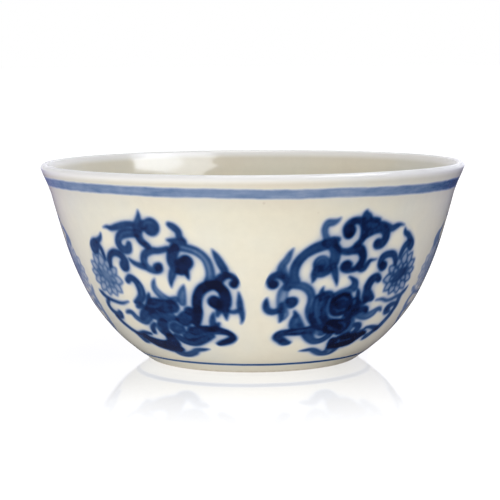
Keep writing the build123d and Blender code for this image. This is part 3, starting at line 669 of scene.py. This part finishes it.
def band_material(name, low, high, wobble, ink_level, edge):
    """A brushed ring between two distances up the wall, with soft, slightly wandering edges."""
    m, nt, b = nodes_of(name)
    pos, col = ground(nt)
    at = node(nt, "ShaderNodeAttribute", attribute_name="s")
    s = at.outputs["Fac"]
    w1 = node(nt, "ShaderNodeTexNoise", in_Scale=75.0, in_Detail=2.0)
    w2 = node(nt, "ShaderNodeTexNoise", in_Scale=420.0, in_Detail=3.0)
    streak_map = node(nt, "ShaderNodeMapping")
    streak_map.inputs["Scale"].default_value = (1.0, 1.0, 5.0)
    nt.links.new(pos, streak_map.inputs["Vector"])
    streak = node(nt, "ShaderNodeTexNoise", in_Scale=240.0, in_Detail=4.0, in_Roughness=0.6)
    nt.links.new(streak_map.outputs["Vector"], streak.inputs["Vector"])
    patch = node(nt, "ShaderNodeTexNoise", in_Scale=130.0, in_Detail=3.0, in_Roughness=0.55)
    for t in (w1, w2, patch):
        nt.links.new(pos, t.inputs["Vector"])
    shift = math_node(nt, "ADD", math_node(nt, "MULTIPLY", math_node(nt, "SUBTRACT", w1.outputs["Fac"], 0.5), wobble),
                      math_node(nt, "MULTIPLY", math_node(nt, "SUBTRACT", w2.outputs["Fac"], 0.5), wobble * 0.7))
    ss = math_node(nt, "ADD", s, shift)
    up = math_node(nt, "DIVIDE", math_node(nt, "SUBTRACT", ss, low - edge / 2), edge, clamp=True)
    dn = math_node(nt, "DIVIDE", math_node(nt, "SUBTRACT", high + edge / 2, ss), edge, clamp=True)
    body = math_node(nt, "MULTIPLY", up, dn)
    tone = math_node(nt, "ADD", math_node(nt, "MULTIPLY", patch.outputs["Fac"], 0.34), math_node(nt, "MULTIPLY", streak.outputs["Fac"], 0.30))
    tone = math_node(nt, "ADD", tone, ink_level - 0.32)
    # brush load round the ring, with painted shade at the rim band's right end
    ink_load_and_shade = node(nt, "ShaderNodeAttribute", attribute_name="ink_load_and_shade")
    tone = math_node(nt, "MULTIPLY", tone, ink_load_and_shade.outputs["Fac"])
    nt.links.new(cobalt(nt, math_node(nt, "MULTIPLY", body, tone), pos, col), b.inputs["Base Color"])
    gloss(nt, b, pos)
    return m


band_mat = band_material("cobalt_band", 41.78, 43.72, 0.42, 0.53, 0.55)
line_mat = band_material("cobalt_line", 3.02, 3.84, 0.18, 0.75, 0.36)

# ---------------------------------------------------------------- pieces
def thinned(c, step):
    """The same curve with points about every step mm."""
    d = np.concatenate([[0], np.cumsum(np.hypot(*np.diff(c, axis=0).T))])
    t = np.linspace(0, d[-1], int(round(d[-1] / step)) + 1)
    return np.stack([np.interp(t, d, c[:, 0]), np.interp(t, d, c[:, 1])], -1)


half = GLAZE / 2
outer_f, inner_f = thinned(outer_c, 0.50), thinned(inner_c, 0.50)
outer_b = thinned(outer_c - N_OUT * half, 1.4)
inner_b = thinned(inner_c + normals_of(inner_c) * half, 1.4)
inner_b[0, 0] = 0.0
glaze_section = np.vstack([
    outer_f,
    lip_arc(lip_r, 0, math.pi, 26)[1:-1],
    inner_f[::-1],
    inner_b,
    lip_arc(lip_r - half, math.pi, 0, 10)[1:-1],
    outer_b[::-1],
    outer_f[:1],
])
glaze = lathe("glaze_skin", glaze_section, seg=256)
glaze.data.materials.append(glaze_mat)
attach(glaze, "root")
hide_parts("glaze_coat")


# how full the brush is, and how wide it presses, by degrees from the front; the heavier load from about 54 to 95
# degrees is painted shade darkening the band's right end
BRUSH_LOAD_AND_SHADE = ((-180, 0.95), (-110, 1.0), (-75, 0.93), (-60, 0.93), (-41, 1.04), (-24, 0.92), (-12, 0.94), (0, 0.905), (12, 0.87), (24, 0.90), (37, 0.87), (54, 1.14), (70, 1.40), (95, 1.25), (130, 1.0), (180, 0.95))
BRUSH_WIDE = ((-180, 1.0), (50, 1.0), (72, 1.12), (110, 1.08), (180, 1.0))


def ring_sheet(name, s0, s1, mat, replaced, sag, mid, load_and_shade, width, seg=720, rows=12):
    s = np.linspace(s0, s1, rows)
    r, z = wall(s, 0.03)
    ob = lathe(name, np.stack([r, z], -1), seg=seg)
    att = ob.data.attributes.new("s", "FLOAT", "POINT")
    # a hand-held brush drifts a little up and down on its way round
    az = np.linspace(0, 2 * math.pi, seg, endpoint=False)
    sway = sag * (np.sin(az - 0.12) - 0.12 + 0.10 * np.sin(3 * az + 0.4) + 0.06 * np.sin(7 * az + 2.0))
    deg = (np.degrees(az) + 180) % 360 - 180
    wide = np.interp(deg, *zip(*width))
    att.data.foreach_set("value", ((s[:, None] + sway[None, :] - mid) / wide[None, :] + mid).ravel().astype(np.float32))
    # brush load by azimuth, including the painted shade at the rim band's right end
    ink_load_and_shade = ob.data.attributes.new("ink_load_and_shade", "FLOAT", "POINT")
    ink_load_and_shade.data.foreach_set("value", np.tile(np.interp(deg, *zip(*load_and_shade)), rows).astype(np.float32))
    ob.data.materials.append(mat)
    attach(ob, "root")
    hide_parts(replaced)
    return ob


ring_sheet("painted_rim_band", 41.0, 44.5, band_mat, "rim_band", 0.40, 42.75, BRUSH_LOAD_AND_SHADE, BRUSH_WIDE)
ring_sheet("painted_foot_line", 2.6, 4.4, line_mat, "foot_line", 0.05, 3.43, ((-180, 1.0), (-60, 0.96), (0, 1.0), (60, 1.04), (180, 1.0)), ((-180, 1.0), (180, 1.0)), rows=6)

ax = np.linspace(-EXT, EXT, GRID)
GU, GV = np.meshgrid(ax, ax)


def by_hand(strokes, mirror, amount, seed):
    """The drawing as another hand-painted copy: turned left for right or not, and a little off everywhere."""
    g = np.random.default_rng(seed)
    p = g.random(6) * 6.28
    out = []
    for item in strokes:
        pts = []
        wide = 1 + 0.5 * amount * (g.random() - 0.5)
        for u, v, w in item[-1]:
            x = (-u if mirror else u) + amount * (math.sin(0.33 * v + p[0]) + 0.5 * math.sin(0.9 * u + p[1]))
            y = v + amount * (math.sin(0.30 * u + p[2]) + 0.5 * math.sin(0.8 * v + p[3]))
            pts.append((x, y, w * wide))
        out.append((*item[:-1], pts))
    return out


for i, (angle, mirror, amount) in enumerate(((-31.7, True, 0.0), (31.5, False, 0.0), (91.6, True, 0.20), (150.5, False, 0.22),
                                             (209.4, True, 0.24), (268.3, False, 0.18)), 1):
    strokes, light = (LEFT, LEFT_LIGHT) if mirror else (R, LIGHT)
    D = paint(GU, GV, by_hand(strokes, mirror, amount, i), by_hand(light, mirror, amount, i), lotus(near, soft, mirror), 5 + 3 * i, 0.42 if mirror else 0.46, 0.12 if mirror else 0.24) * (1.01 if mirror else 1.0)
    D *= 1 - {3: 0.42, 6: 0.42}.get(i, 0.0) * soft((GU * (-1 if i == 3 else 1) - 6.5) / 5.0)      # painted sheen: the ink is faded on the edge turned toward the front, where the glaze reflects at a grazing angle
    ob = medallion(f"painted_medallion_{i}", angle, 22.5, D)
    ob.data.materials.append(paint_mat)
    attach(ob, "root")
    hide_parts(f"medallion_{i}")

for name in ("porcelain_body", "base_glaze"):
    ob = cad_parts[name]
    for slot in ob.material_slots:
        slot.material = biscuit_mat if name == "porcelain_body" else glaze_mat

# ---------------------------------------------------------------- how the studio is lit
FLOOR_AROUND = [(0.0, (0.22, 0.20, 0.34)), (0.25, (0.49, 0.46, 0.63)), (0.45, (0.65, 0.64, 0.77)), (0.66, (0.63, 0.63, 0.64)), (0.84, (1.00, 0.99, 0.97)), (1.0, (1.26, 1.24, 1.21))]
FLOOR_OUT = [(0.044, (0.56, 0.56, 0.56)), (0.13, (1.03, 1.03, 1.03)), (0.40, (0.76, 0.76, 0.76))]
FLOOR_FAR = (0.78, 0.78, 0.95)
SHEEN = [(0.0, (0.55, 0.55, 0.95)), (0.14, (0.34, 0.34, 0.46)), (0.45, (0.20, 0.20, 0.20)), (0.62, (0.07, 0.07, 0.07)), (0.88, (0.05, 0.05, 0.05)), (0.97, (0.30, 0.30, 0.50))]
WORLD_SIDE = [(0.0, (0.43, 0.43, 0.57)), (0.30, (0.44, 0.44, 0.46)), (0.55, (0.38, 0.39, 0.43)), (0.85, (0.125, 0.135, 0.185)), (1.0, (0.105, 0.115, 0.175))]
WORLD_BACK = [(0.55, (0.5, 0.5, 0.6, 0.0)), (0.94, (0.56, 0.56, 0.68, 1.0)), (0.982, (0.58, 0.58, 0.70, 1.0)), (0.991, (1.05, 1.05, 1.05, 1.0))]
WORLD_UP = [(0.0, (1, 1, 1)), (0.05, (1, 1, 0.98)), (0.16, (0.91, 0.87, 0.74)), (0.34, (0.83, 0.79, 0.66)), (0.6, (0.74, 0.72, 0.63)), (1.0, (0.55, 0.54, 0.49))]
WORLD_STRENGTH = 1.0
HORIZON = [(0.0, (0.88, 0.88, 0.96, 1.0)), (0.26, (0.86, 0.86, 0.94, 0.9)), (0.46, (0.84, 0.84, 0.90, 0.0))]

# ---------------------------------------------------------------- floor
fl = bpy.data.meshes.new("floor")
F = 6.0
fl.from_pydata([(-F, -F, 0), (F, -F, 0), (F, F, 0), (-F, F, 0)], [], [(0, 1, 2, 3)])
floor = bpy.data.objects.new("floor", fl)
bpy.context.scene.collection.objects.link(floor)
floor_mat, nt, b = nodes_of("pale_floor")
b.inputs["Base Color"].default_value = (0.22, 0.22, 0.22, 1)
b.inputs["Roughness"].default_value = 0.6
b.inputs["Specular IOR Level"].default_value = 0.0
pos = node(nt, "ShaderNodeTexCoord").outputs["Object"]
dist = node(nt, "ShaderNodeVectorMath", operation="LENGTH")
nt.links.new(pos, dist.inputs[0])
# the light that the table throws back: strongest in front and to the left, weak close to the foot
unit = node(nt, "ShaderNodeVectorMath", operation="NORMALIZE")
nt.links.new(pos, unit.inputs[0])
facing = node(nt, "ShaderNodeVectorMath", operation="DOT_PRODUCT")
nt.links.new(unit.outputs["Vector"], facing.inputs[0])
facing.inputs[1].default_value = (-0.31, -0.95, 0.0)
around = ramp(nt, FLOOR_AROUND)
nt.links.new(math_node(nt, "ADD", math_node(nt, "MULTIPLY", facing.outputs["Value"], 0.5), 0.5), around.inputs["Fac"])
out_from = ramp(nt, FLOOR_OUT)
beside = node(nt, "ShaderNodeVectorMath", operation="DISTANCE")
nt.links.new(pos, beside.inputs[0])
beside.inputs[1].default_value = (-0.010, -0.003, 0.0)
nt.links.new(math_node(nt, "MULTIPLY", beside.outputs["Value"], 2.0, clamp=True), out_from.inputs["Fac"])
thrown = mix(nt, 1.0, around.outputs["Color"], out_from.outputs["Color"], "MULTIPLY")
path = node(nt, "ShaderNodeLightPath")
place = node(nt, "ShaderNodeSeparateXYZ")
nt.links.new(pos, place.inputs["Vector"])
sheen = ramp(nt, SHEEN)
nt.links.new(math_node(nt, "ADD", math_node(nt, "MULTIPLY", place.outputs["X"], 4.0), 0.5, clamp=True), sheen.inputs["Fac"])
thrown = mix(nt, path.outputs["Is Glossy Ray"], thrown, mix(nt, 1.0, thrown, sheen.outputs["Color"], "MULTIPLY"))
far = node(nt, "ShaderNodeMapRange", interpolation_type="SMOOTHSTEP")
for k, v in (("From Min", 0.30), ("From Max", 0.9), ("To Min", 0.0), ("To Max", 1.0)):
    far.inputs[k].default_value = v
nt.links.new(dist.outputs["Value"], far.inputs["Value"])
thrown = mix(nt, far.outputs["Result"], thrown, FLOOR_FAR)
nt.links.new(mix(nt, path.outputs["Is Camera Ray"], thrown, (0.99, 0.99, 0.99)), b.inputs["Emission Color"])
nt.links.new(mix(nt, path.outputs["Is Glossy Ray"], (0.22, 0.22, 0.22), (0.04, 0.04, 0.04)), b.inputs["Base Color"])
b.inputs["Emission Strength"].default_value = 1.0
shine = node(nt, "ShaderNodeBsdfGlossy")
shine.inputs["Color"].default_value = (1, 1, 1, 1)
shine.inputs["Roughness"].default_value = 0.05
fade = node(nt, "ShaderNodeMapRange", interpolation_type="SMOOTHSTEP")
for k, v in (("From Min", 0.022), ("From Max", 0.105), ("To Min", 0.36), ("To Max", 0.0)):
    fade.inputs[k].default_value = v
nt.links.new(dist.outputs["Value"], fade.inputs["Value"])
both = node(nt, "ShaderNodeMixShader")
nt.links.new(math_node(nt, "MULTIPLY", fade.outputs["Result"], path.outputs["Is Camera Ray"]), both.inputs["Fac"])
nt.links.new(b.outputs["BSDF"], both.inputs[1])
nt.links.new(shine.outputs["BSDF"], both.inputs[2])
out = next(n for n in nt.nodes if n.type == "OUTPUT_MATERIAL")
nt.links.new(both.outputs["Shader"], out.inputs["Surface"])
floor.data.materials.append(floor_mat)

# ---------------------------------------------------------------- light
world = bpy.data.worlds.new("studio")
bpy.context.scene.world = world
world.use_nodes = True
wt = world.node_tree
wt.nodes.clear()
wout = node(wt, "ShaderNodeOutputWorld")
lit, seen = node(wt, "ShaderNodeBackground"), node(wt, "ShaderNodeBackground")
seen.inputs["Color"].default_value = (1, 1, 1, 1)
seen.inputs["Strength"].default_value = 1.0
way = node(wt, "ShaderNodeTexCoord").outputs["Generated"]
axes = node(wt, "ShaderNodeSeparateXYZ")
wt.links.new(way, axes.inputs["Vector"])
side = ramp(wt, WORLD_SIDE)
wt.links.new(math_node(wt, "ADD", math_node(wt, "MULTIPLY", axes.outputs["X"], 0.5), 0.5), side.inputs["Fac"])
back = ramp(wt, WORLD_BACK)
wt.links.new(math_node(wt, "ADD", math_node(wt, "MULTIPLY", axes.outputs["Y"], 0.5), 0.5), back.inputs["Fac"])
up = ramp(wt, WORLD_UP)
wt.links.new(axes.outputs["Z"], up.inputs["Fac"])
around = mix(wt, back.outputs["Alpha"], side.outputs["Color"], back.outputs["Color"])
around = mix(wt, 1.0, around, up.outputs["Color"], "MULTIPLY")
wpath = node(wt, "ShaderNodeLightPath")
horizon = ramp(wt, HORIZON)
wt.links.new(axes.outputs["Z"], horizon.inputs["Fac"])
low = math_node(wt, "MULTIPLY", horizon.outputs["Alpha"], wpath.outputs["Is Glossy Ray"])
wt.links.new(mix(wt, low, around, horizon.outputs["Color"]), lit.inputs["Color"])
lit.inputs["Strength"].default_value = WORLD_STRENGTH
wmix = node(wt, "ShaderNodeMixShader")
wt.links.new(wpath.outputs["Is Camera Ray"], wmix.inputs["Fac"])
wt.links.new(lit.outputs["Background"], wmix.inputs[1])
wt.links.new(seen.outputs["Background"], wmix.inputs[2])
wt.links.new(wmix.outputs["Shader"], wout.inputs["Surface"])


def softbox(name, azimuth, elevation, dist, size, watts, colour=(1, 1, 1), look=(0, 0, 0.035), roll=0.0, diffuse=True, glossy=True):
    """A rectangular soft light. Azimuth 0 is the camera's side, 90 is +X."""
    a, e = math.radians(azimuth), math.radians(elevation)
    at = Vector(look) + Vector((math.sin(a) * math.cos(e), -math.cos(a) * math.cos(e), math.sin(e))) * dist
    d = bpy.data.lights.new(name, "AREA")
    d.shape, d.size, d.size_y = "RECTANGLE", size[0], size[1]
    d.energy, d.color = watts, colour
    o = bpy.data.objects.new(name, d)
    bpy.context.scene.collection.objects.link(o)
    o.location = at
    o.rotation_mode = "QUATERNION"
    o.rotation_quaternion = (Vector(look) - at).to_track_quat("-Z", "Y") @ Matrix.Rotation(math.radians(roll), 3, "Z").to_quaternion()
    o.visible_diffuse, o.visible_glossy = diffuse, glossy
    return o


softbox("key", -27, 3, 1.1, (0.8, 0.45), 2.12, (1.0, 0.985, 0.95))
softbox("top", 74, 68, 0.8, (0.45, 0.45), 2.9, (0.93, 0.97, 1.06), glossy=False)
softbox("overhead", 30, 84, 0.7, (0.5, 0.5), 1.05, (1.0, 0.99, 0.97), glossy=False)
softbox("window", 60.3, 43.5, 0.75, (0.61, 0.34), 3.3, (0.93, 0.96, 1.02), roll=9, diffuse=False)
softbox("window_upper", 60.3, 45.5, 0.76, (0.60, 0.28), 1.53, (0.93, 0.96, 1.02), roll=9, diffuse=False)
softbox("window_bright", 73, 45.5, 0.77, (0.34, 0.28), 1.58, (0.90, 0.95, 1.06), roll=9, diffuse=False)
softbox("side_card", 150, 15, 0.8, (0.74, 0.50), 0.2, (0.88, 0.93, 1.04), diffuse=False)
softbox("lip_card", 0, 78, 0.7, (0.36, 0.42), 2.6, (1.0, 1.0, 1.0), diffuse=False)

bpy.context.scene.view_settings.view_transform = "Standard"
